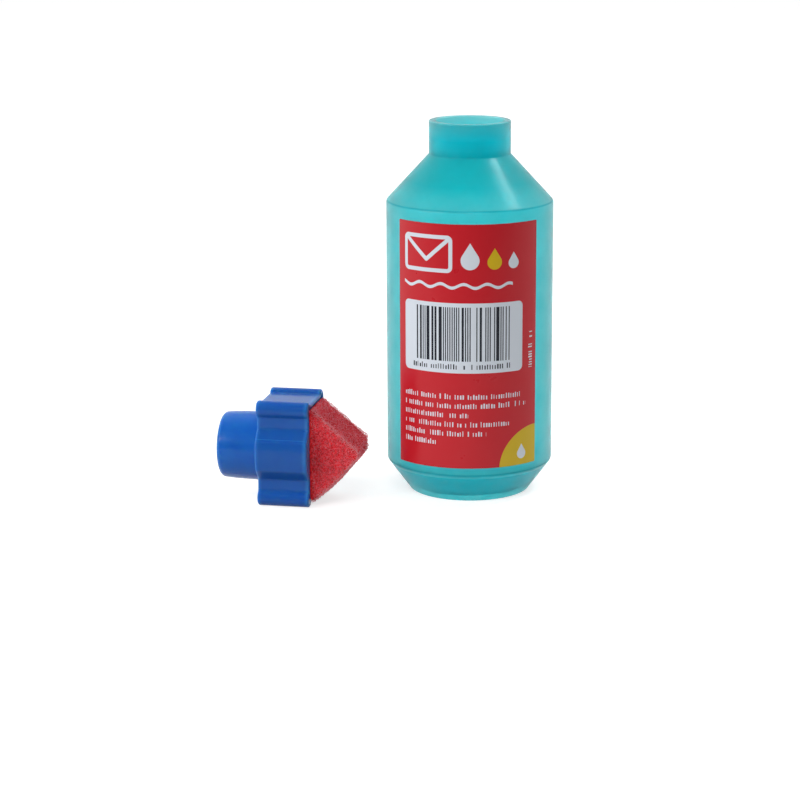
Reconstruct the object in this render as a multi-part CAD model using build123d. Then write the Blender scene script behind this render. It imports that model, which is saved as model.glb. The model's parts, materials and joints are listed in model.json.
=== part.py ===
from build123d import *
import os
from math import atan2, cos, radians, sin, tan

# Envelope moistener: a squeeze bottle standing on its foot, and its sponge-tipped applicator,
# pulled out of the neck and lying on one of its short sides beside the bottle.
# Millimetres, +Z up. The origin is the centre of the bottle's foot, and -Y is the labelled front.

# Bottle: one blow moulding, with a thin body and a thicker neck
bottle_height = 82.0
body_radius = 18.25
foot_radius = 13.2
foot_height = 6.9
shoulder_base = 64.6
shoulder_height = 10.15
neck_radius = 8.9
neck_bore_radius = 7.4
body_wall = 1.0
foot_wall = 1.3
body_edge_round = 0.8
foot_edge_round = 0.7
neck_root_round = 0.35
rim_round = 0.3

# Front label: a film that is stuck round the front of the body
label_bottom = 8.75
label_height = 53.35
label_width = 33.75
label_offset = -0.8
label_thickness = 0.12
label_glue = 0.02
label_corner_round = 0.3

# Applicator holder: a plug and a fluted block, moulded as one.
# Its own frame has Z along the plug, towards the sponge, and its origin on the block's back face;
# X is the block's long side and Y its short side.
plug_squeeze = 0.03
plug_length = 9.25
plug_wall = 1.5
plug_end_round = 0.9
block_length = 11.5
block_wall = 1.0
block_floor = 1.8
block_edge_round = 0.5
feed_hole_radius = 3.6

# The block's section: a plain core, with a round rib at each corner and a broad rib on each long side
core_long = 21.7
core_short = 14.1
corner_rib_radius = 1.8
corner_rib_long_rise = 0.85
corner_rib_short_rise = 1.0
middle_rib_rise = 2.6
middle_rib_top = 6.4
middle_rib_foot = 11.2
middle_rib_crown = 0.35
groove_round = 0.9
middle_rib_round = 1.2

# Flow disc: lies on the pocket's floor over the feed hole, under the sponge
flow_disc_radius = 5.4
flow_disc_thickness = 0.8
flow_hole_radius = 0.5
flow_hole_ring = 2.2
flow_hole_count = 6
flow_disc_gap = 0.02

# Sponge: a foot that fills the pocket, a collar that swells over the rim, and a gable on it
sponge_gap = 0.1
sponge_swell_long = 0.3
sponge_swell_short = 0.1
collar_gap = 0.05
collar_height = 0.6
gable_height = 10.9
gable_lean = 0.9
gable_ridge_round = 1.2
collar_round = 0.5

# Where the applicator lies: the middle of the block's back face, seen from above
lying_x = -44.9
lying_y = -9.9
lying_turn = 10.0


def bottle():
    """Half section of the bottle's wall, turned round the axis."""
    neck_base = shoulder_base + shoulder_height
    shoulder_slope = atan2(shoulder_height, body_radius - neck_radius)
    foot_slope = atan2(foot_height, body_radius - foot_radius)
    inner_radius = body_radius - body_wall

    # The inside runs parallel to the shoulder and the foot, one wall thickness in
    shoulder_drop = body_wall / cos(shoulder_slope)
    foot_rise = body_wall / cos(foot_slope)
    inner_shoulder = shoulder_base + body_wall * tan(shoulder_slope) - shoulder_drop
    inner_neck = neck_base + (neck_radius - neck_bore_radius) * tan(shoulder_slope) - shoulder_drop
    inner_foot = foot_height - body_wall * tan(foot_slope) + foot_rise
    inner_foot_radius = inner_radius - (inner_foot - foot_wall) / tan(foot_slope)

    outline = FilletPolyline(
        (0, 0),
        (foot_radius, 0),
        (body_radius, foot_height),
        (body_radius, shoulder_base),
        (neck_radius, neck_base),
        (neck_radius, bottle_height),
        (neck_bore_radius, bottle_height),
        (neck_bore_radius, inner_neck),
        (inner_radius, inner_shoulder),
        (inner_radius, inner_foot),
        (inner_foot_radius, foot_wall),
        (0, foot_wall),
        radius=[
            0,
            foot_edge_round,
            body_edge_round,
            body_edge_round,
            neck_root_round,
            rim_round,
            rim_round,
            neck_root_round,
            body_edge_round,
            body_edge_round,
            foot_edge_round,
            0,
        ],
        close=True,
    )
    return revolve(Plane.XZ * make_face(outline), Axis.Z)


def front_label():
    """A curved film with round corners, bent round the body."""
    inside_radius = body_radius + label_glue
    middle = label_bottom + label_height / 2
    ring = Cylinder(inside_radius + label_thickness, label_height) - Cylinder(inside_radius, label_height)
    half_angle = label_width / 2 / inside_radius
    half_chord = inside_radius * sin(half_angle)
    window = RectangleRounded(2 * half_chord, label_height, label_corner_round)
    turn = label_offset / inside_radius
    front = Plane(origin=(0, 0, middle), x_dir=(cos(turn), sin(turn), 0), z_dir=(sin(turn), -cos(turn), 0))
    return Pos(0, 0, middle) * ring & extrude(front * window, body_radius * 2)


def block_section():
    """The fluted outline of the block, seen along the plug."""
    rib_x = core_long / 2 + corner_rib_long_rise - corner_rib_radius
    rib_y = core_short / 2 + corner_rib_short_rise - corner_rib_radius
    section = Rectangle(core_long, core_short)
    for side in (-1, 1):
        for end in (-1, 1):
            section += Pos(end * rib_x, side * rib_y) * Circle(corner_rib_radius)
    foot_y = core_short / 2
    top_y = foot_y + middle_rib_rise - middle_rib_crown
    for side in (-1, 1):
        flanks = Polyline(
            (-middle_rib_top / 2, side * top_y),
            (-middle_rib_foot / 2, side * foot_y),
            (middle_rib_foot / 2, side * foot_y),
            (middle_rib_top / 2, side * top_y),
        )
        crown = ThreePointArc(
            (middle_rib_top / 2, side * top_y),
            (0, side * (top_y + middle_rib_crown)),
            (-middle_rib_top / 2, side * top_y),
        )
        section += make_face(flanks + crown)
    section = fillet(corners_on(section, Axis.Y, top_y), middle_rib_round)
    grooves = corners_on(section, Axis.X, core_long / 2) + corners_on(section, Axis.Y, core_short / 2)
    return fillet(grooves, groove_round)


def corners_on(section, axis, distance):
    """The section's corners that lie this far from its middle along an axis, on both sides."""
    near, far = distance - 0.01, distance + 0.01
    corners = section.vertices()
    return corners.filter_by_position(axis, near, far) + corners.filter_by_position(axis, -far, -near)


def applicator_holder():
    plug_radius = neck_bore_radius + plug_squeeze
    block = extrude(block_section(), block_length)
    block = fillet(block.faces().sort_by(Axis.Z)[0].edges(), block_edge_round)
    block = fillet(block.faces().sort_by(Axis.Z)[-1].edges(), block_edge_round)
    plug = Pos(0, 0, -plug_length / 2) * Cylinder(plug_radius, plug_length)
    plug = fillet(plug.edges().group_by(Axis.Z)[0], plug_end_round)
    plug -= Pos(0, 0, -plug_length / 2) * Cylinder(plug_radius - plug_wall, plug_length)
    pocket = Pos(0, 0, block_floor) * extrude(pocket_section(0), block_length)
    feed = Cylinder(feed_hole_radius, 4 * block_floor)
    return block + plug - pocket - feed


def pocket_section(gap):
    """The pocket's rectangle, or what fits in it with a gap all round."""
    return Rectangle(core_long - 2 * (block_wall + gap), core_short - 2 * (block_wall + gap))


def flow_disc():
    disc = Cylinder(flow_disc_radius, flow_disc_thickness)
    disc -= Cylinder(flow_hole_radius, flow_disc_thickness)
    disc -= PolarLocations(flow_hole_ring, flow_hole_count) * Cylinder(flow_hole_radius, flow_disc_thickness)
    return Pos(0, 0, block_floor + flow_disc_gap + flow_disc_thickness / 2) * disc


def sponge_tip():
    """The foot in the pocket, and the gable: a ridged outline cut to a leaning one from the side."""
    foot_start = block_floor + 2 * flow_disc_gap + flow_disc_thickness
    collar_start = block_length + collar_gap
    foot = Pos(0, 0, foot_start) * extrude(pocket_section(sponge_gap), collar_start - foot_start)
    half_long = core_long / 2 - block_wall + sponge_swell_long
    half_short = core_short / 2 - block_wall + sponge_swell_short
    collar_top = collar_start + collar_height
    ridge = collar_top + gable_height
    gable = FilletPolyline(
        (-half_long, collar_start),
        (-half_long, collar_top),
        (0, ridge),
        (half_long, collar_top),
        (half_long, collar_start),
        radius=[0, collar_round, gable_ridge_round, collar_round, 0],
        close=True,
    )
    side = Polyline(
        (-half_short, collar_start),
        (gable_lean - half_short, ridge),
        (half_short - gable_lean, ridge),
        (half_short, collar_start),
        close=True,
    )
    seen_from_front = extrude(Plane.XZ * make_face(gable), half_short, both=True)
    seen_from_side = extrude(Plane.YZ * make_face(side), half_long, both=True)
    return foot + (seen_from_front & seen_from_side)


lying_height = core_long / 2 + corner_rib_long_rise
along = (cos(radians(lying_turn)), -sin(radians(lying_turn)), 0)
lying = Plane(origin=(lying_x, lying_y, lying_height), x_dir=(0, 0, 1), z_dir=along)

pieces = {
    "bottle": bottle(),
    "front_label": front_label(),
    "applicator_holder": lying * applicator_holder(),
    "flow_disc": lying * flow_disc(),
    "sponge_tip": lying * sponge_tip(),
}

os.makedirs("parts", exist_ok=True)
for name, piece in pieces.items():
    export_step(piece, f"parts/{name}.step")
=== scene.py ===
import json
import math
import bpy
from mathutils import Matrix, Vector


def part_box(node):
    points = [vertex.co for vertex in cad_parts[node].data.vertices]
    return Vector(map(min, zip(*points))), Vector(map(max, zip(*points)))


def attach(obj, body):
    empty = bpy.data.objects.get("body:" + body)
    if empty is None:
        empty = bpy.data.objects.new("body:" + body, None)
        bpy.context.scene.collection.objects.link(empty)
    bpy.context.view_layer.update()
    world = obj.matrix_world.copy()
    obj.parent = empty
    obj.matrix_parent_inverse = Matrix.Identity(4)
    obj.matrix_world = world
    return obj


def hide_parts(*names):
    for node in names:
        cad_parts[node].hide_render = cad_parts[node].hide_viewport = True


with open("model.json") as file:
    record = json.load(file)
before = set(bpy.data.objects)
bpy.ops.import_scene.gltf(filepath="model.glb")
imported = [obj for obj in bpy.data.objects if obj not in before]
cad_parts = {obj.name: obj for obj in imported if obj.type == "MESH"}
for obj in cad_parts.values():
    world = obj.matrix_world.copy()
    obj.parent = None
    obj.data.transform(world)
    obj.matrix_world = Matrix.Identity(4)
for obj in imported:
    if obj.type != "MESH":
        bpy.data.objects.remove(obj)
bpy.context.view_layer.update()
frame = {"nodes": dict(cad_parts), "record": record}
scene = bpy.context.scene
scene.view_settings.view_transform = "Standard"


# Camera: a long lens a good half metre in front of the bottle, a little above it and looking
# down, with the picture's middle shifted to the left of the lens axis.
picture_width_px = 800
focal_length_px = 2379.1
lens_axis_px = 450.1
camera_place = (-0.0043, -0.5147, 0.1455)
look_down = math.radians(13.75)

camera = bpy.data.cameras.new("front_camera")
camera.sensor_width = 36
camera.lens = camera.sensor_width * focal_length_px / picture_width_px
camera.shift_x = 0.5 - lens_axis_px / picture_width_px
front_camera = bpy.data.objects.new("front_camera", camera)
front_camera.location = camera_place
front_camera.rotation_euler = (math.pi / 2 - look_down, 0, 0)
scene.collection.objects.link(front_camera)
scene.camera = front_camera


# Shop table: a wide white sheet that the pieces stand on. It takes their shadow, and to the
# camera it is lifted to the plain white of a catalogue page. It ends just below the picture.
table_half_width = 1.5
table_front = -0.2
table_back = 3.0
table_white = (0.5, 0.5, 0.5, 1)
table_lift = 0.72


def new_material(name):
    """A node material, its tree and its Principled shader."""
    material = bpy.data.materials.new(name)
    material.use_nodes = True
    tree = material.node_tree
    return material, tree, tree.nodes["Principled BSDF"]


def add_node(tree, kind, **settings):
    """One shader node with its settings."""
    node = tree.nodes.new("ShaderNode" + kind)
    for name, value in settings.items():
        setattr(node, name, value)
    return node


def seen_directly(tree):
    """1 for what the camera sees straight, in a mirror or through clear plastic, otherwise 0."""
    path = add_node(tree, "LightPath")
    either = add_node(tree, "Math", operation="MAXIMUM")
    tree.links.new(path.outputs["Is Camera Ray"], either.inputs[0])
    tree.links.new(path.outputs["Is Glossy Ray"], either.inputs[1])
    any_of_them = add_node(tree, "Math", operation="MAXIMUM")
    tree.links.new(either.outputs[0], any_of_them.inputs[0])
    tree.links.new(path.outputs["Is Transmission Ray"], any_of_them.inputs[1])
    return any_of_them.outputs[0]


bpy.ops.object.select_all(action="DESELECT")
bpy.ops.mesh.primitive_plane_add(size=1, location=(0, (table_front + table_back) / 2, 0))
table = bpy.context.object
table.name = "shop_table"
table.scale = (2 * table_half_width, table_back - table_front, 1)
table_paper, tree, shader = new_material("table_paper")
shader.inputs["Base Color"].default_value = table_white
shader.inputs["Roughness"].default_value = 0.9
shader.inputs["Specular IOR Level"].default_value = 0.1
shader.inputs["Emission Color"].default_value = (1, 1, 1, 1)
lift = add_node(tree, "Math", operation="MULTIPLY")
lift.inputs[1].default_value = table_lift
tree.links.new(seen_directly(tree), lift.inputs[0])
tree.links.new(lift.outputs[0], shader.inputs["Emission Strength"])
table.data.materials.append(table_paper)


# Studio light: a white backdrop behind the pieces and a dim room on the camera's side, a soft
# lamp on the left, one on the right that draws the streak on the shoulder, one in front, and a
# small one for the glint on the plug.
backdrop_light, backdrop_edge = 1.0, 0.5
dim_room_light, dim_room_edge = 0.1, -0.15

world = bpy.data.worlds.new("studio_room")
scene.world = world
world.use_nodes = True
tree = world.node_tree
room = tree.nodes["Background"]
room.inputs["Color"].default_value = (1, 1, 1, 1)
direction = add_node(tree, "TexCoord")
along_view = add_node(tree, "SeparateXYZ")
tree.links.new(direction.outputs["Generated"], along_view.inputs["Vector"])
brightness = add_node(tree, "MapRange", interpolation_type="SMOOTHSTEP")
brightness.inputs["From Min"].default_value = dim_room_edge
brightness.inputs["From Max"].default_value = backdrop_edge
brightness.inputs["To Min"].default_value = dim_room_light
brightness.inputs["To Max"].default_value = backdrop_light
tree.links.new(along_view.outputs["Y"], brightness.inputs["Value"])
path = add_node(tree, "LightPath")
page_white = add_node(tree, "Mix", data_type="FLOAT")
page_white.inputs["B"].default_value = 1.0
tree.links.new(path.outputs["Is Camera Ray"], page_white.inputs["Factor"])
tree.links.new(brightness.outputs["Result"], page_white.inputs["A"])
tree.links.new(page_white.outputs["Result"], room.inputs["Strength"])

lamps = {
    # name: (place, size, watts)
    "left_lamp": ((-0.85, -0.45, 0.5), (0.5, 0.5), 4.8),
    "right_lamp": ((0.49, 0.13, 0.84), (0.16, 0.2), 3.2),
    "front_lamp": ((-0.05, -0.72, 0.75), (0.45, 0.2), 3.2),
    "glint_lamp": ((-0.61, -0.59, 0.42), (0.12, 0.08), 1.2),
}
aim = Vector((-0.02, 0, 0.035))
for name, (place, size, watts) in lamps.items():
    lamp = bpy.data.lights.new(name, "AREA")
    lamp.shape = "RECTANGLE"
    lamp.size, lamp.size_y = size
    lamp.energy = watts
    hung = bpy.data.objects.new(name, lamp)
    hung.location = place
    hung.rotation_euler = (aim - Vector(place)).to_track_quat("-Z", "Y").to_euler()
    scene.collection.objects.link(hung)


# Bottle: one blow moulding in translucent teal polyethylene, squeezable, with a plain neck.
# The mould's two halves leave a fine line up each side, and pinch the tube shut across the base.
bottle_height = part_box("bottle")[1].z
body_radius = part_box("bottle")[1].x
neck_bore = next(m for m in frame["record"]["mounts"] if m["name"] == "neck_bore")
bore_radius = neck_bore["dims"]["r_mm"] / 1000
neck_radius = 0.0089
neck_base = 0.07475
shoulder_base = 0.0646
foot_radius = 0.0132
foot_height = 0.0069
body_wall = 0.001
foot_wall = 0.0013
inner_neck = 0.07495
inner_shoulder = 0.06421
inner_foot = 0.00741
inner_foot_radius = 0.01278
bottle_sides = 256
pole_radius = 0.002
rounding_steps = 6
ring_tolerance = 0.00001


def turned_shell(name, outline, sides):
    """A ring at the outline's first point is pulled on to each next one, as a lathe would.
    Each point is (radius, height, how far its edge is rounded), and the two ends are closed."""
    bpy.ops.object.select_all(action="DESELECT")
    radius, height, _ = outline[0]
    bpy.ops.mesh.primitive_circle_add(vertices=sides, radius=radius, location=(0, 0, height))
    shell = bpy.context.object
    shell.name = name
    bpy.ops.object.transform_apply(location=True)
    bpy.ops.object.mode_set(mode="EDIT")
    bpy.ops.mesh.select_all(action="SELECT")
    for (radius, height, _), (next_radius, next_height, _) in zip(outline, outline[1:]):
        bpy.ops.mesh.extrude_region_move(
            TRANSFORM_OT_translate={"value": (0, 0, next_height - height)}
        )
        grow = next_radius / radius
        bpy.ops.transform.resize(value=(grow, grow, 1), center_override=(0, 0, next_height))
    for radius, height, _ in (outline[0], outline[-1]):
        select_edges(shell, lambda v: on_ring(v, radius, height))
        bpy.ops.mesh.merge(type="COLLAPSE")
    for radius, height, rounding in outline[1:-1]:
        if rounding:
            select_edges(shell, lambda v: on_ring(v, radius, height))
            bpy.ops.mesh.bevel(offset=rounding, segments=rounding_steps, affect="EDGES")
    bpy.ops.mesh.select_all(action="SELECT")
    bpy.ops.mesh.normals_make_consistent(inside=False)
    bpy.ops.object.mode_set(mode="OBJECT")
    return shell


def applied(piece, kind, **settings):
    """Adds one modifier to the active piece and applies it."""
    modifier = piece.modifiers.new(kind.lower(), kind)
    for name, value in settings.items():
        setattr(modifier, name, value)
    bpy.ops.object.modifier_apply(modifier=modifier.name)


def on_ring(place, radius, height):
    """Whether a point lies on a ring round the bottle's axis."""
    off_radius, off_height = place.xy.length - radius, place.z - height
    return abs(off_radius) < ring_tolerance and abs(off_height) < ring_tolerance


def select_edges(piece, wanted):
    """Selects, in edit mode, just those edges whose two ends are both wanted."""
    bpy.ops.mesh.select_mode(type="EDGE")
    bpy.ops.mesh.select_all(action="DESELECT")
    bpy.ops.object.mode_set(mode="OBJECT")
    vertices = piece.data.vertices
    for edge in piece.data.edges:
        edge.select = all(wanted(vertices[i].co) for i in edge.vertices)
    bpy.ops.object.mode_set(mode="EDIT")


bottle_shell = turned_shell(
    "bottle_shell",
    [
        (pole_radius, 0, 0),
        (foot_radius, 0, 0.0003),
        (body_radius, foot_height, 0.00028),
        (body_radius, shoulder_base, 0.00035),
        (neck_radius, neck_base, 0.00015),
        (neck_radius, bottle_height, 0.0003),
        (bore_radius, bottle_height, 0.0003),
        (bore_radius, inner_neck, 0.00015),
        (body_radius - body_wall, inner_shoulder, 0.00035),
        (body_radius - body_wall, inner_foot, 0.00028),
        (inner_foot_radius, foot_wall, 0.0003),
        (pole_radius, foot_wall, 0),
    ],
    bottle_sides,
)
bpy.ops.object.shade_smooth()
applied(bottle_shell, "WEIGHTED_NORMAL")


def node_group(name, inputs, outputs):
    """An empty shader node group with its sockets, and its two ends."""
    group = bpy.data.node_groups.new(name, "ShaderNodeTree")
    for title, kind in inputs.items():
        group.interface.new_socket(title, in_out="INPUT", socket_type="NodeSocket" + kind)
    for title, kind in outputs.items():
        group.interface.new_socket(title, in_out="OUTPUT", socket_type="NodeSocket" + kind)
    return group, group.nodes.new("NodeGroupInput").outputs, group.nodes.new("NodeGroupOutput").inputs


def feed(tree, node, values):
    """Gives a node's sockets their values, or links them where a value is another node's socket."""
    for socket, value in values.items():
        if isinstance(value, bpy.types.NodeSocket):
            tree.links.new(value, node.inputs[socket])
        else:
            node.inputs[socket].default_value = value
    return node.outputs[0]


def calculate(tree, operation, *values, clamp=False):
    """One step of arithmetic on numbers."""
    node = add_node(tree, "Math", operation=operation, use_clamp=clamp)
    return feed(tree, node, dict(enumerate(values)))


def calculate_place(tree, operation, *values):
    """One step of arithmetic on places. Dot products and lengths come out as numbers."""
    node = add_node(tree, "VectorMath", operation=operation)
    feed(tree, node, dict(enumerate(values)))
    return node.outputs["Value" if operation in ("DOT_PRODUCT", "LENGTH") else "Vector"]


def place_group(tree, group, **values):
    """Puts a node group in a tree, with its inputs set."""
    node = add_node(tree, "Group", node_tree=group)
    return feed(tree, node, {title.replace("_", " "): value for title, value in values.items()})


def noise(tree, place, scale, detail):
    """Smooth random values from 0 to 1."""
    node = add_node(tree, "TexNoise")
    feed(tree, node, {"Vector": place, "Scale": scale, "Detail": detail})
    return node.outputs[0]


def fading(tree, distance, gone, full, most=1.0):
    """Nothing at one distance, and the most at another, with a smooth change between them."""
    edge = add_node(tree, "MapRange", interpolation_type="SMOOTHSTEP")
    return feed(tree, edge, {"Value": distance, "From Min": gone, "From Max": full, "To Max": most})


def over(tree, under, colour, share):
    """A colour, or an ink, laid over what is there."""
    mix = add_node(tree, "Mix", data_type="RGBA")
    feed(tree, mix, {"A": under, "B": colour, "Factor": share})
    return mix.outputs["Result"]


def tints_along(tree, distance, start, end, tints):
    """Colours that change from a start to an end. The first one stands at the start."""
    scale = add_node(tree, "ValToRGB")
    stops = scale.color_ramp.elements
    stops.remove(stops[1])
    for at, colour in tints.items():
        share = (at - start) / (end - start)
        stop = stops.new(share) if share else stops[0]
        stop.color = colour
    from_start = calculate(tree, "SUBTRACT", distance, start)
    return feed(tree, scale, {0: calculate(tree, "DIVIDE", from_start, end - start)})


def add_relief(tree, shader, height):
    """Raises the surface where the height is 1 by the depth of a moulded or printed skin."""
    bump = add_node(tree, "Bump")
    feed(tree, bump, {"Height": height, "Distance": relief_depth})
    tree.links.new(bump.outputs[0], shader.inputs["Normal"])


# A moulded or printed face close up: cloudy patches of gloss, a fine grain and a few scuffs
relief_depth = 0.00003
cloud_size, grain_size = 0.004, 0.00022
cloud_gloss, grain_height = 0.12, 0.12
scuff_turn, scuff_stretch = (0.5, 0.3, 0.9), (400, 400, 9000)
scuff_gain, scuff_rarity = 12, -8.2
scuff_gloss, scuff_height = 0.2, -0.15
skin_marks, given, result = node_group(
    "skin_marks", {"Place": "Vector", "Roughness": "Float", "Scuffs": "Float"},
    {"Roughness": "Float", "Height": "Float", "Cloud": "Float"},
)
cloud = noise(skin_marks, given["Place"], 1 / cloud_size, 3)
grain = noise(skin_marks, given["Place"], 1 / grain_size, 2)
tilted = add_node(skin_marks, "Mapping")
feed(skin_marks, tilted, {"Vector": given["Place"], "Rotation": scuff_turn})
streaks = noise(skin_marks, calculate_place(skin_marks, "MULTIPLY", tilted.outputs[0], scuff_stretch), 1, 2)
scuffs = calculate(
    skin_marks, "MULTIPLY",
    calculate(skin_marks, "MULTIPLY_ADD", streaks, scuff_gain, scuff_rarity, clamp=True),
    given["Scuffs"],
)
patches = calculate(skin_marks, "MULTIPLY_ADD", cloud, cloud_gloss, -cloud_gloss / 2)
skin_marks.links.new(
    calculate(
        skin_marks, "ADD", given["Roughness"],
        calculate(skin_marks, "MULTIPLY_ADD", scuffs, scuff_gloss, patches),
    ),
    result["Roughness"],
)
skin_marks.links.new(
    calculate(
        skin_marks, "MULTIPLY_ADD", grain, grain_height,
        calculate(skin_marks, "MULTIPLY_ADD", scuffs, scuff_height, cloud),
    ),
    result["Height"],
)
skin_marks.links.new(cloud, result["Cloud"])


def add_marks(tree, shader, place, roughness, scuffs):
    """Puts the marks in a material's gloss. Gives back their clouds and their relief."""
    marks = add_node(tree, "Group", node_tree=skin_marks)
    feed(tree, marks, {"Place": place, "Roughness": roughness, "Scuffs": scuffs})
    tree.links.new(marks.outputs["Roughness"], shader.inputs["Roughness"])
    return marks.outputs["Cloud"], marks.outputs["Height"]


# The plastic looks deepest where its wall is thickest, in the neck and the foot. The dark bands at the two
# corners are painted shade, the pale bands just beside them are painted highlights, and the darker foot rim
# is painted shade
body_teal = (0.2, 0.8, 0.84, 1)
# painted shade: the dark band along the two corners
corner_shade_teal = (0.004, 0.4, 0.46, 1)
shoulder_highlight_teal = (0.2, 0.76, 0.79, 1)
shoulder_teal = (0.025, 0.66, 0.7, 1)
neck_root_teal = (0.008, 0.56, 0.62, 1)
neck_teal = (0.014, 0.69, 0.77, 1)
lip_teal = (0.22, 0.6, 0.63, 1)
foot_teal = (0.008, 0.7, 0.78, 1)
foot_highlight_teal = (0.3, 0.95, 0.98, 1)
# painted shade: the foot's lowest rim is tinted darker
foot_rim_shade_teal = (0.004, 0.44, 0.5, 1)
cloudy_teal = (0.04, 0.66, 0.72, 1)
cloudy_gain, cloudy_rarity = 1.2, -0.5
corner_band = 0.0001
lip_depth = 0.0037
wall_tints_and_painted_light = {
    0: foot_rim_shade_teal,
    0.001: foot_rim_shade_teal,
    0.003: foot_teal,
    foot_height - 0.0008: foot_teal,
    foot_height - 0.0006: foot_highlight_teal,
    foot_height - 0.0003: foot_highlight_teal,
    foot_height - corner_band: corner_shade_teal,
    foot_height + corner_band: corner_shade_teal,
    foot_height + 0.0004: body_teal,
    shoulder_base - 0.0002: body_teal,
    shoulder_base - corner_band: corner_shade_teal,
    shoulder_base + corner_band: corner_shade_teal,
    shoulder_base + 0.0003: shoulder_highlight_teal,
    shoulder_base + 0.0045: shoulder_teal,
    neck_base - corner_band: shoulder_teal,
    neck_base + corner_band: neck_root_teal,
    neck_base + 0.0015: neck_teal,
    bottle_height - lip_depth: neck_teal,
    bottle_height: lip_teal,
}
seam_half_width, seam_height = 0.00014, 2.5

teal_plastic, tree, shader = new_material("teal_polyethylene")
place = add_node(tree, "TexCoord").outputs["Object"]
parts = add_node(tree, "SeparateXYZ")
tree.links.new(place, parts.inputs[0])
cloud, relief = add_marks(tree, shader, place, roughness=0.38, scuffs=0.5)
cloudiness = calculate(tree, "MULTIPLY_ADD", cloud, cloudy_gain, cloudy_rarity, clamp=True)
wall_tint_and_painted_light = tints_along(tree, parts.outputs["Z"], 0, bottle_height, wall_tints_and_painted_light)
tree.links.new(over(tree, wall_tint_and_painted_light, cloudy_teal, cloudiness), shader.inputs["Base Color"])
seam = fading(tree, calculate(tree, "ABSOLUTE", parts.outputs["Y"]), seam_half_width, 0, seam_height)
add_relief(tree, shader, calculate(tree, "ADD", relief, seam))
shader.inputs["IOR"].default_value = 1.22
shader.inputs["Specular IOR Level"].default_value = 0.1
shader.inputs["Coat Weight"].default_value = 0.2
shader.inputs["Coat Roughness"].default_value = 0.2
shader.inputs["Coat IOR"].default_value = 1.35
shader.inputs["Transmission Weight"].default_value = 0.8
shader.inputs["Subsurface Weight"].default_value = 1.0
shader.inputs["Subsurface Radius"].default_value = (0.3, 1.0, 1.0)
shader.inputs["Subsurface Scale"].default_value = 0.003
bottle_shell.data.materials.append(teal_plastic)
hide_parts("bottle")
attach(bottle_shell, "bottle")


# Front label: a printed film glued round the front of the body, red with white print, a white
# panel of bars and a yellow corner. The print is plain shapes, and the face has a soft gloss.
label_low, label_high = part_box("front_label")
label_height = label_high.z - label_low.z
label_width = 0.03375
label_offset = -0.0008
label_glue = 0.00002
label_thickness = 0.00012
label_corner_round = 0.0003
label_columns = 120
edge_share = 0.499
film_inside = body_radius + label_glue

bpy.ops.object.select_all(action="DESELECT")
bpy.ops.mesh.primitive_grid_add(
    x_subdivisions=label_columns, y_subdivisions=4, size=1, rotation=(math.pi / 2, 0, 0)
)
label = bpy.context.object
label.name = "printed_label"
label.scale = (label_width, label_height, 1)
bpy.ops.object.transform_apply(location=False, rotation=True, scale=True)
bpy.ops.object.mode_set(mode="EDIT")
bpy.ops.mesh.select_mode(type="VERT")
bpy.ops.mesh.select_all(action="DESELECT")
bpy.ops.object.mode_set(mode="OBJECT")
for vertex in label.data.vertices:
    at_side = abs(vertex.co.x) > edge_share * label_width
    vertex.select = at_side and abs(vertex.co.z) > edge_share * label_height
bpy.ops.object.mode_set(mode="EDIT")
bpy.ops.mesh.bevel(offset=label_corner_round, segments=4, affect="VERTICES")
bpy.ops.object.mode_set(mode="OBJECT")

# The print is placed from the label's lower left corner, in label heights both ways
print_map = label.data.uv_layers.active.data
for loop in label.data.loops:
    place = label.data.vertices[loop.vertex_index].co
    print_map[loop.index].uv = (
        (place.x + label_width / 2) / label_height,
        (place.z + label_height / 2) / label_height,
    )
applied(label, "SOLIDIFY", thickness=label_thickness, offset=1)
applied(
    label, "SIMPLE_DEFORM", deform_method="BEND", deform_axis="Z", angle=label_width / film_inside
)
turn = label_offset / film_inside
label.location = (
    film_inside * math.sin(turn), -film_inside * math.cos(turn), (label_low.z + label_high.z) / 2
)
label.rotation_euler = (0, 0, turn)
bpy.ops.object.transform_apply(location=True, rotation=True, scale=False)
bpy.ops.object.shade_smooth_by_angle(angle=math.radians(30))


# Distances from printed shapes, in millimetres on the label, less than nothing inside
box_print, given, result = node_group(
    "distance_to_box", {"Place": "Vector", "Middle": "Vector", "Half Size": "Vector", "Corner": "Float"},
    {"Distance": "Float"},
)
from_middle = calculate_place(
    box_print, "ABSOLUTE", calculate_place(box_print, "SUBTRACT", given["Place"], given["Middle"])
)
rounded = add_node(box_print, "CombineXYZ")
for axis in "XYZ":
    box_print.links.new(given["Corner"], rounded.inputs[axis])
inner_half = calculate_place(box_print, "SUBTRACT", given["Half Size"], rounded.outputs[0])
past = calculate_place(
    box_print, "MAXIMUM", calculate_place(box_print, "SUBTRACT", from_middle, inner_half), (0, 0, 0)
)
away = calculate_place(box_print, "LENGTH", past)
box_print.links.new(calculate(box_print, "SUBTRACT", away, given["Corner"]), result["Distance"])

line_print, given, result = node_group(
    "distance_to_line", {"Place": "Vector", "Start": "Vector", "Run": "Vector"},
    {"Distance": "Float"},
)
from_start = calculate_place(line_print, "SUBTRACT", given["Place"], given["Start"])
share = calculate(
    line_print, "DIVIDE",
    calculate_place(line_print, "DOT_PRODUCT", from_start, given["Run"]),
    calculate_place(line_print, "DOT_PRODUCT", given["Run"], given["Run"]),
    clamp=True,
)
nearest = add_node(line_print, "VectorMath", operation="SCALE")
line_print.links.new(given["Run"], nearest.inputs["Vector"])
line_print.links.new(share, nearest.inputs["Scale"])
away = calculate_place(
    line_print, "LENGTH", calculate_place(line_print, "SUBTRACT", from_start, nearest.outputs["Vector"])
)
line_print.links.new(away, result["Distance"])

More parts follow.
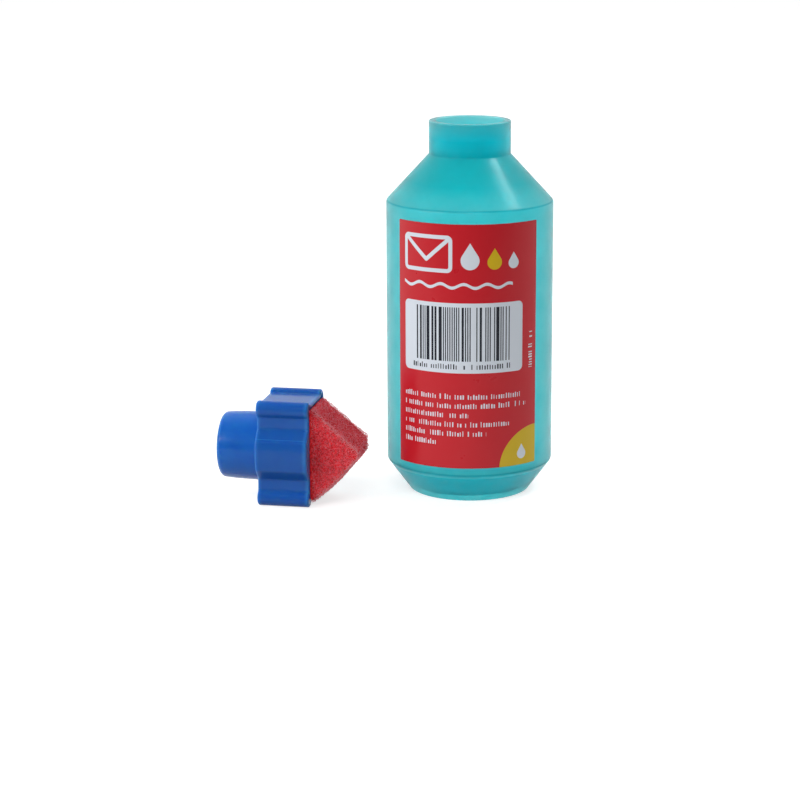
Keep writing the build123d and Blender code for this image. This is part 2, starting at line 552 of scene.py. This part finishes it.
drop_side = math.radians(32)
drop_print, given, result = node_group(
    "distance_to_drop", {"Place": "Vector", "Middle": "Vector", "Radius": "Float"},
    {"Distance": "Float"},
)
from_middle = calculate_place(drop_print, "SUBTRACT", given["Place"], given["Middle"])
parts = add_node(drop_print, "SeparateXYZ")
drop_print.links.new(from_middle, parts.inputs[0])
aside, above = calculate(drop_print, "ABSOLUTE", parts.outputs["X"]), parts.outputs["Y"]
from_disc = calculate_place(drop_print, "LENGTH", from_middle)
from_flank = calculate(
    drop_print, "ADD",
    calculate(drop_print, "MULTIPLY", aside, math.cos(drop_side)),
    calculate(drop_print, "MULTIPLY", above, math.sin(drop_side)),
)
on_flank = calculate(
    drop_print, "GREATER_THAN",
    calculate(drop_print, "MULTIPLY", above, math.cos(drop_side)),
    calculate(drop_print, "MULTIPLY", aside, math.sin(drop_side)),
)
nearer = add_node(drop_print, "Mix", data_type="FLOAT")
feed(drop_print, nearer, {"Factor": on_flank, "A": from_disc, "B": from_flank})
drop_print.links.new(
    calculate(drop_print, "SUBTRACT", nearer.outputs["Result"], given["Radius"]), result["Distance"]
)

# Rows of small dashes, where a real label has its small print: each dash or gap is drawn at random
dash_pitch = 0.56
row_pitch = 2.05
gap_share = 0.17
least_width, width_spread = 0.28, 0.35
least_height, height_spread = 0.42, 0.2
dash_foot = 0.05
dashes, given, result = node_group("small_dashes", {"Place": "Vector"}, {"Ink": "Float"})
scaled = calculate_place(dashes, "DIVIDE", given["Place"], (dash_pitch, row_pitch, 1))
cell = calculate_place(dashes, "FLOOR", scaled)
within = add_node(dashes, "SeparateXYZ")
dashes.links.new(calculate_place(dashes, "FRACTION", scaled), within.inputs[0])
draw = add_node(dashes, "TexWhiteNoise", noise_dimensions="3D")
dashes.links.new(cell, draw.inputs["Vector"])
drawn = add_node(dashes, "SeparateColor")
dashes.links.new(draw.outputs["Color"], drawn.inputs[0])
no_gap = calculate(dashes, "GREATER_THAN", drawn.outputs["Red"], gap_share)
dash_width = calculate(dashes, "MULTIPLY_ADD", drawn.outputs["Green"], width_spread, least_width)
dash_height = calculate(dashes, "MULTIPLY_ADD", drawn.outputs["Blue"], height_spread, least_height)
in_width = calculate(dashes, "LESS_THAN", within.outputs["X"], dash_width)
in_height = calculate(
    dashes, "MULTIPLY",
    calculate(dashes, "LESS_THAN", within.outputs["Y"], dash_height),
    calculate(dashes, "GREATER_THAN", within.outputs["Y"], dash_foot),
)
dashes.links.new(
    calculate(dashes, "MULTIPLY", no_gap, calculate(dashes, "MULTIPLY", in_width, in_height)),
    result["Ink"],
)

# The print, in millimetres from the label's lower left corner
print_white = (0.69, 0.74, 0.81, 1)
print_black = (0.008, 0.01, 0.02, 1)
print_yellow = (0.66, 0.45, 0.012, 1)
film_red = (0.55, 0.011, 0.02, 1)
ink_edge = 0.06
square_corner = 0.05
stroke_half_width = 0.42
panel_middle, panel_half, panel_corner = (15.85, 28.75, 0), (13.82, 7.65, 1), 1.1
bars_middle, bars_half = (15.9, 29.6, 0), (10.5, 5.9, 1)
bar_pitch, bar_share, white_every = 0.24, 0.62, 4
envelope_middle, envelope_half, envelope_corner = (7.9, 46.9, 0), (5.5, 3.6, 1), 0.8
flap_point, flap_inset = (7.9, 45.6, 0), 0.3
drops = {
    # middle: radius
    (17.6, 45.6, 0): 2.0,
    (22.9, 45.2, 0): 1.6,
    (27.3, 44.85, 0): 1.25,
}
wave_middle, wave_half = (14.5, 40.1, 0), (12.6, 1.5, 1)
wave_length, wave_swing, wave_half_width = 5.0, 0.42, 0.33
row_lengths = (27.4, 28.6, 15.2, 24.3, 19.1, 8.6)
rows_left, rows_top = 2.05, 17.3
column_middle, column_half = (31.9, 25.8, 0), (0.75, 4.4, 1)
under_bars_middle, under_bars_half = (15.9, 22.55, 0), (11.6, 0.7, 1)
corner_middle, corner_radius = (33.2, -0.6, 0), 9.1
corner_drop_middle, corner_drop_radius = (29.6, 2.5, 0), 1.15

label_print, tree, shader = new_material("label_print")
print_uv = add_node(tree, "UVMap", uv_map=label.data.uv_layers.active.name)
mm = calculate_place(tree, "MULTIPLY", print_uv.outputs[0], (label_height * 1000,) * 3)


def inked(distance):
    """Full ink inside a shape, fading out across a soft edge."""
    return fading(tree, distance, ink_edge / 2, -ink_edge / 2)


def nearest_of(distances):
    """The union of shapes."""
    total = distances[0]
    for distance in distances[1:]:
        total = calculate(tree, "MINIMUM", total, distance)
    return total


def to_box(middle, half_size, corner=square_corner):
    return place_group(tree, box_print, Place=mm, Middle=middle, Half_Size=half_size, Corner=corner)


def to_drop(middle, radius):
    return place_group(tree, drop_print, Place=mm, Middle=middle, Radius=radius)


mm_parts = add_node(tree, "SeparateXYZ")
tree.links.new(mm, mm_parts.inputs[0])
bar_number = calculate(tree, "FLOOR", calculate(tree, "DIVIDE", mm_parts.outputs["X"], bar_pitch))
bar_draw = add_node(tree, "TexWhiteNoise", noise_dimensions="1D")
tree.links.new(bar_number, bar_draw.inputs["W"])
inked_bar = calculate(tree, "LESS_THAN", bar_draw.outputs["Value"], bar_share)
kept_white = calculate(tree, "LESS_THAN", calculate(tree, "MODULO", bar_number, white_every), 0.5)
bars = calculate(
    tree, "MULTIPLY", inked(to_box(bars_middle, bars_half)),
    calculate(tree, "SUBTRACT", inked_bar, kept_white, clamp=True),
)

envelope = [calculate(tree, "ABSOLUTE", to_box(envelope_middle, envelope_half, envelope_corner))]
for side in (-1, 1):
    start = (
        envelope_middle[0] + side * (envelope_half[0] - flap_inset),
        envelope_middle[1] + envelope_half[1] - flap_inset,
        0,
    )
    run = (flap_point[0] - start[0], flap_point[1] - start[1], 0)
    envelope.append(place_group(tree, line_print, Place=mm, Start=start, Run=run))
strokes = calculate(tree, "SUBTRACT", nearest_of(envelope), stroke_half_width)
white_drop, yellow_drop, small_drop = [to_drop(middle, radius) for middle, radius in drops.items()]
swing = calculate(
    tree, "MULTIPLY",
    calculate(tree, "SINE", calculate(tree, "MULTIPLY", mm_parts.outputs["X"], 2 * math.pi / wave_length)),
    wave_swing,
)
wave_line = calculate(tree, "ADD", swing, wave_middle[1])
off_wave = calculate(tree, "ABSOLUTE", calculate(tree, "SUBTRACT", mm_parts.outputs["Y"], wave_line))
wave = calculate(
    tree, "MAXIMUM", calculate(tree, "SUBTRACT", off_wave, wave_half_width), to_box(wave_middle, wave_half)
)
corner_drop = to_drop(corner_drop_middle, corner_drop_radius)
white_shapes = inked(nearest_of([strokes, wave, corner_drop, white_drop, small_drop]))

rows = nearest_of([
    to_box(
        (rows_left + length / 2, rows_top - row_pitch * (number + 0.5), 0), (length / 2, row_pitch / 2, 1)
    )
    for number, length in enumerate(row_lengths)
])
rows_foot = (rows_left, rows_top - row_pitch * len(row_lengths), 0)
turned_mm = add_node(tree, "CombineXYZ")
tree.links.new(mm_parts.outputs["Y"], turned_mm.inputs["X"])
tree.links.new(
    calculate(tree, "SUBTRACT", column_middle[0] + column_half[0], mm_parts.outputs["X"]),
    turned_mm.inputs["Y"],
)
under_bars_foot = (0, under_bars_middle[1] - under_bars_half[1], 0)


def dashed(area, dash_place):
    """Dashes inside a shape."""
    return calculate(tree, "MULTIPLY", inked(area), place_group(tree, dashes, Place=dash_place))


small_print = dashed(rows, calculate_place(tree, "SUBTRACT", mm, rows_foot))
column_print = dashed(to_box(column_middle, column_half), turned_mm.outputs[0])
under_bars_print = dashed(
    to_box(under_bars_middle, under_bars_half), calculate_place(tree, "SUBTRACT", mm, under_bars_foot)
)
from_corner = calculate_place(tree, "LENGTH", calculate_place(tree, "SUBTRACT", mm, corner_middle))
corner = calculate(tree, "SUBTRACT", from_corner, corner_radius)

printed = film_red
for ink, shape in (
    (print_yellow, inked(corner)),
    (print_yellow, inked(yellow_drop)),
    (print_white, white_shapes),
    (print_white, small_print),
    (print_white, column_print),
    (print_white, inked(to_box(panel_middle, panel_half, panel_corner))),
    (print_black, bars),
    (print_black, under_bars_print),
):
    printed = over(tree, printed, ink, shape)
tree.links.new(printed, shader.inputs["Base Color"])
place = add_node(tree, "TexCoord").outputs["Object"]
cloud, relief = add_marks(tree, shader, place, roughness=0.3, scuffs=0.25)
add_relief(tree, shader, relief)
shader.inputs["Specular IOR Level"].default_value = 0.3
label.data.materials.append(label_print)
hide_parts("front_label")
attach(label, "bottle")


# Applicator holder: one blue moulding with a good gloss, a plug for the bottle's neck and a fluted
# block to grip. It leaves a smooth steel mould, so the plug tapers a little towards its end.
plug = next(m for m in frame["record"]["mounts"] if m["name"] == "plug")
to_sponge = -Vector(plug["axis"])
plug_middle = 0.0045
plug_length = 0.00925
plug_radius = plug["dims"]["r_mm"] / 1000
skin_from, bore_to = 0.9 * plug_radius, 0.85 * plug_radius
plug_end_round = 0.0009
plug_end_scale, plug_root_scale = 0.987, 1.018
plug_reach = 0.0075
lead_in_length, lead_in_depth = 0.0045, 0.0002
lead_in_rings = 6
merge_distance = 0.000002
block_length = 0.0115
up = Vector((0, 0, 1))
lying = Matrix((up, to_sponge.cross(up), to_sponge)).transposed().to_4x4()
lying.translation = Vector(plug["pos_m"]) + to_sponge * plug_middle

# Along the holder's own axes: X is up, Y towards the camera and Z along the plug, from the block's
# back face
holder = frame["nodes"]["applicator_holder"].copy()
holder.data = holder.data.copy()
holder.name = "holder_moulding"
holder.parent = None
scene.collection.objects.link(holder)
bpy.ops.object.select_all(action="DESELECT")
holder.select_set(True)
bpy.context.view_layer.objects.active = holder
holder.matrix_world = lying.inverted()
bpy.ops.object.transform_apply(location=True, rotation=True, scale=True)
bpy.ops.object.mode_set(mode="EDIT")
bpy.ops.mesh.select_all(action="SELECT")
bpy.ops.mesh.remove_doubles(threshold=merge_distance)
for ring in range(lead_in_rings):
    bpy.ops.mesh.select_all(action="SELECT")
    ring_place = lead_in_length * (1 - ring / lead_in_rings) - plug_length
    bpy.ops.mesh.bisect(plane_co=(0, 0, ring_place), plane_no=(0, 0, 1))
bpy.ops.object.mode_set(mode="OBJECT")
for vertex in holder.data.vertices:
    if vertex.co.z < ring_tolerance and vertex.co.xy.length < plug_reach:
        share = -vertex.co.z / plug_length
        grow = plug_root_scale + (plug_end_scale - plug_root_scale) * share
        lead_in = max(0, 1 - (vertex.co.z + plug_length) / lead_in_length)
        grow -= lead_in ** 2 * lead_in_depth / plug_radius
        vertex.co.x *= grow
        vertex.co.y *= grow
bpy.ops.object.shade_smooth_by_angle(angle=math.radians(35))
applied(holder, "WEIGHTED_NORMAL", keep_sharp=True)

# The plug's skin and bore take the smooth normals of turned surfaces, however their triangles lie
taper = plug_radius * (plug_root_scale - plug_end_scale) / plug_length
normals = [corner.vector.copy() for corner in holder.data.corner_normals]
for face in holder.data.polygons:
    on_skin = face.center.z > plug_end_round - plug_length and face.center.xy.length > skin_from
    in_bore = face.center.xy.length < bore_to
    if face.center.z < 0 and abs(face.normal.z) < 0.5 and (on_skin or in_bore):
        for corner in face.loop_indices:
            place = holder.data.vertices[holder.data.loops[corner].vertex_index].co
            lead_in = max(0, 1 - (place.z + plug_length) / lead_in_length)
            slope = taper + 2 * lead_in * lead_in_depth / lead_in_length
            outward = Vector((place.x, place.y, -slope * place.xy.length)).normalized()
            normals[corner] = outward if on_skin else -outward
holder.data.normals_split_custom_set(normals)
holder.matrix_world = lying
bpy.ops.object.transform_apply(location=True, rotation=True, scale=True)

# The rims are tinted paler, a painted glow of light through the thin plastic there, and the block, full of
# foam, looks deeper than the plug. A fine witness line runs along the block above its middle, raised a
# little and tinted pale as a painted highlight.
plug_blue = (0.014, 0.16, 0.58, 1)
# painted highlight: the pale tint of the rims and of the witness line
painted_highlight_blue = (0.04, 0.24, 0.62, 1)
block_blue = (0.016, 0.13, 0.48, 1)
deep_blue = (0.012, 0.08, 0.34, 1)
deep_share = 0.5
rim_depth = 0.0011
lengthwise_tints_and_highlights = {
    -plug_length: painted_highlight_blue,
    -plug_length + rim_depth: plug_blue,
    -0.0004: plug_blue,
    0.0001: painted_highlight_blue,
    rim_depth: block_blue,
    block_length - rim_depth: block_blue,
    block_length - 0.0004: painted_highlight_blue,
}
witness_height, witness_half_width = 0.0037, 0.00014
witness_highlight_strength = 0.6

blue_plastic, tree, shader = new_material("blue_polyethylene")
place = add_node(tree, "TexCoord").outputs["Object"]
from_back_face = calculate_place(tree, "SUBTRACT", place, tuple(lying.translation))
lengthwise = calculate_place(tree, "DOT_PRODUCT", from_back_face, tuple(to_sponge))
above_middle = calculate_place(tree, "DOT_PRODUCT", from_back_face, tuple(up))
cloud, relief = add_marks(tree, shader, place, roughness=0.17, scuffs=0.8)
blue = tints_along(tree, lengthwise, -plug_length, block_length, lengthwise_tints_and_highlights)
clouded = over(tree, blue, deep_blue, calculate(tree, "MULTIPLY", cloud, deep_share))
off_witness = calculate(tree, "ABSOLUTE", calculate(tree, "SUBTRACT", above_middle, witness_height))
witness = calculate(
    tree, "MULTIPLY", fading(tree, off_witness, witness_half_width, 0),
    calculate(tree, "GREATER_THAN", lengthwise, 0),
)
# painted highlight: the witness line is tinted pale as well as raised
witness_highlighted = over(tree, clouded, painted_highlight_blue, calculate(tree, "MULTIPLY", witness, witness_highlight_strength))
tree.links.new(witness_highlighted, shader.inputs["Base Color"])
add_relief(tree, shader, calculate(tree, "ADD", relief, witness))
shader.inputs["Specular IOR Level"].default_value = 0.16
shader.inputs["Subsurface Weight"].default_value = 1.0
shader.inputs["Subsurface Radius"].default_value = (0.1, 0.4, 1.0)
shader.inputs["Subsurface Scale"].default_value = 0.0015
holder.data.materials.clear()
holder.data.materials.append(blue_plastic)
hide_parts("applicator_holder")
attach(holder, "applicator")


# Flow disc: a thin disc of milky plastic, punched with seven holes, that lies loose on the floor
# of the holder's pocket and lets the water through to the sponge a little at a time.
milk_white = (0.8, 0.8, 0.76, 1)
milk_grey = (0.68, 0.7, 0.68, 1)

milky_plastic, tree, shader = new_material("milky_polyethylene")
place = add_node(tree, "TexCoord").outputs["Object"]
cloud, relief = add_marks(tree, shader, place, roughness=0.4, scuffs=1.0)
tree.links.new(over(tree, milk_white, milk_grey, cloud), shader.inputs["Base Color"])
add_relief(tree, shader, relief)
shader.inputs["Subsurface Weight"].default_value = 1.0
shader.inputs["Subsurface Scale"].default_value = 0.001
frame["nodes"]["flow_disc"].material_slots[0].material = milky_plastic


# Sponge: a wedge cut from red open-cell foam. Its square foot is pushed into the holder's pocket,
# the collar above it swells a little over the rim, and the ridge is what wipes the gum.
foot_half_long, foot_half_short = 0.00972, 0.00592
foot_start, foot_end = 0.00266, 0.01158
cut_steps = (
    # distance along the plug, half width, reach down, reach up at the near end and at the far end
    (0.01168, 0.00585, 0.01065, 0.00995, 0.00995),
    (0.01228, 0.00585, 0.01065, 0.00995, 0.00995),
    (0.0172, 0.0053, 0.00625, 0.00525, 0.00615),
    (0.02215, 0.0048, 0.0005, 0.0005, 0.0022),
)
cut_edge_round = 0.0007
core_voxel = 0.0003
pit_depth = 0.00025
cell_size = 0.00046
net_voxel = 0.00026
net_share = 0.4
net_depth = 0.00005
net_spacing = 0.0004
cell_unevenness = 0.00013
cut_ends = 0.0003
strut_thickness = 0.0001
pocket_rim = 0.0117
net_seeds = (7, 11)


def cut_corner(step, upper, far):
    """One corner of the foam at one of its steps, along the holder's own axes."""
    distance, half_width, down, up_near, up_far = step
    reach = (up_far if far else up_near) if upper else -down
    return Vector((reach, -half_width if far else half_width, distance))


bpy.ops.object.select_all(action="DESELECT")
bpy.ops.mesh.primitive_cube_add(size=1, location=(0, 0, (foot_start + foot_end) / 2))
sponge = bpy.context.object
sponge.name = "sponge"
sponge.scale = (2 * foot_half_long, 2 * foot_half_short, foot_end - foot_start)
bpy.ops.object.transform_apply(location=True, scale=True)
bpy.ops.object.mode_set(mode="EDIT")
bpy.ops.mesh.select_mode(type="FACE")
bpy.ops.mesh.select_all(action="DESELECT")
bpy.ops.object.mode_set(mode="OBJECT")
for face in sponge.data.polygons:
    face.select = face.normal.z > 0.9
for step in cut_steps:
    bpy.ops.object.mode_set(mode="EDIT")
    bpy.ops.mesh.extrude_region_move()
    bpy.ops.object.mode_set(mode="OBJECT")
    for vertex in sponge.data.vertices:
        if vertex.select:
            vertex.co = cut_corner(step, vertex.co.x > 0, vertex.co.y < 0)
applied(sponge, "BEVEL", width=cut_edge_round, segments=3, angle_limit=math.radians(30))

# The open net of struts, in two layers: each is an uneven mesh of triangles, turned into its
# cells' edges and roughened where the knife has left cut ends standing
to_cells = bpy.data.node_groups.new("triangles_to_cells", "GeometryNodeTree")
to_cells.interface.new_socket("Geometry", in_out="INPUT", socket_type="NodeSocketGeometry")
to_cells.interface.new_socket("Geometry", in_out="OUTPUT", socket_type="NodeSocketGeometry")
dual = to_cells.nodes.new("GeometryNodeDualMesh")
to_cells.links.new(to_cells.nodes.new("NodeGroupInput").outputs[0], dual.inputs[0])
to_cells.links.new(dual.outputs[0], to_cells.nodes.new("NodeGroupOutput").inputs[0])

nets = []
for layer, seed in enumerate(net_seeds):
    net = sponge.copy()
    net.data = sponge.data.copy()
    scene.collection.objects.link(net)
    bpy.ops.object.select_all(action="DESELECT")
    net.select_set(True)
    bpy.context.view_layer.objects.active = net
    applied(net, "REMESH", mode="VOXEL", voxel_size=net_voxel)
    applied(net, "DISPLACE", strength=-(net_depth + layer * net_spacing), mid_level=0)
    bpy.ops.object.mode_set(mode="EDIT")
    bpy.ops.mesh.select_all(action="SELECT")
    bpy.ops.mesh.quads_convert_to_tris(quad_method="SHORTEST_DIAGONAL")
    bpy.ops.transform.vertex_random(offset=cell_unevenness, seed=seed)
    bpy.ops.object.mode_set(mode="OBJECT")
    applied(net, "DECIMATE", ratio=net_share)
    applied(net, "NODES", node_group=to_cells)
    bpy.ops.object.mode_set(mode="EDIT")
    bpy.ops.mesh.select_all(action="SELECT")
    bpy.ops.transform.vertex_random(offset=cut_ends, normal=1, seed=seed)
    bpy.ops.mesh.select_all(action="DESELECT")
    bpy.ops.mesh.select_mode(type="VERT")
    bpy.ops.object.mode_set(mode="OBJECT")
    for vertex in net.data.vertices:
        vertex.select = vertex.co.z < pocket_rim
    bpy.ops.object.mode_set(mode="EDIT")
    bpy.ops.mesh.delete(type="VERT")
    bpy.ops.object.mode_set(mode="OBJECT")
    applied(net, "WIREFRAME", thickness=strut_thickness, use_even_offset=False)
    nets.append(net)

# The foam behind them, drawn in under the nets and pitted
cells = bpy.data.textures.new("foam_cells", "VORONOI")
cells.noise_scale = cell_size
cells.weight_1 = -1
cells.weight_2 = 1
cells.noise_intensity = 1.4
bpy.ops.object.select_all(action="DESELECT")
sponge.select_set(True)
bpy.context.view_layer.objects.active = sponge
applied(sponge, "REMESH", mode="VOXEL", voxel_size=core_voxel)
outside = sponge.vertex_groups.new(name="outside_pocket")
outside.add([v.index for v in sponge.data.vertices if v.co.z > pocket_rim], 1.0, "REPLACE")
applied(
    sponge, "DISPLACE", texture=cells, strength=-pit_depth, mid_level=-1.5,
    vertex_group="outside_pocket",
)

speckle_size = 0.0005
dark_speck, light_speck, pale_speck = 0.36, 0.55, 0.7
# painted highlight on the struts: its tint, how far it reaches from the knife's edges and how strong it is
strut_highlight_pink = (0.98, 0.5, 0.52, 1)
edge_highlight_width, edge_highlight_most, ridge_highlight_most = 0.0012, 0.7, 0.1


def foam(name, roughness, dark, light, pale):
    """Foam in three tints of red, in specks as large as its cells."""
    material, tree, shader = new_material(name)
    place = add_node(tree, "TexCoord").outputs["Object"]
    tint = add_node(tree, "ValToRGB")
    tree.links.new(noise(tree, place, 1 / speckle_size, 1), tint.inputs[0])
    stops = tint.color_ramp.elements
    stops[0].position, stops[0].color = dark_speck, dark
    stops[1].position, stops[1].color = pale_speck, pale
    stops.new(light_speck).color = light
    tree.links.new(tint.outputs[0], shader.inputs["Base Color"])
    shader.inputs["Roughness"].default_value = roughness
    return material, tree, shader, place, tint.outputs[0]


red_foam = foam("red_foam", 0.9, (0.6, 0.004, 0.01, 1), (0.92, 0.015, 0.03, 1), (0.95, 0.1, 0.13, 1))[0]
foam_struts, tree, shader, place, strut_red = foam(
    "foam_struts", 0.4, (0.9, 0.025, 0.05, 1), (0.95, 0.09, 0.13, 1), (0.98, 0.45, 0.5, 1)
)
# Painted highlight: the struts are tinted paler along the knife's edges and towards the ridge, where they
# stand free and catch the light
off_edge = 1.0
for upper in (True, False):
    for far in (True, False):
        start = lying @ cut_corner(cut_steps[1], upper, far)
        end = lying @ cut_corner(cut_steps[-1], upper, far)
        distance = place_group(tree, line_print, Place=place, Start=tuple(start), Run=tuple(end - start))
        off_edge = calculate(tree, "MINIMUM", off_edge, distance)
from_back_face = calculate_place(tree, "SUBTRACT", place, tuple(lying.translation))
ridge_highlight_ramp = add_node(tree, "MapRange")
feed(tree, ridge_highlight_ramp, {
    "Value": calculate_place(tree, "DOT_PRODUCT", from_back_face, tuple(to_sponge)),
    "From Min": pocket_rim, "From Max": cut_steps[-1][0], "To Max": ridge_highlight_most,
})
highlight_share = calculate(
    tree, "ADD", fading(tree, off_edge, edge_highlight_width, 0, edge_highlight_most), ridge_highlight_ramp.outputs["Result"]
)
tree.links.new(over(tree, strut_red, strut_highlight_pink, highlight_share), shader.inputs["Base Color"])
shader.inputs["Sheen Weight"].default_value = 1.0
shader.inputs["Sheen Tint"].default_value = (0.95, 0.75, 0.88, 1)
sponge.data.materials.append(red_foam)
for net in nets:
    net.data.materials.append(foam_struts)

for net in nets:
    net.select_set(True)
bpy.ops.object.join()
sponge.matrix_world = lying
bpy.ops.object.transform_apply(location=True, rotation=True, scale=True)
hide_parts("sponge_tip")
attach(sponge, "applicator")
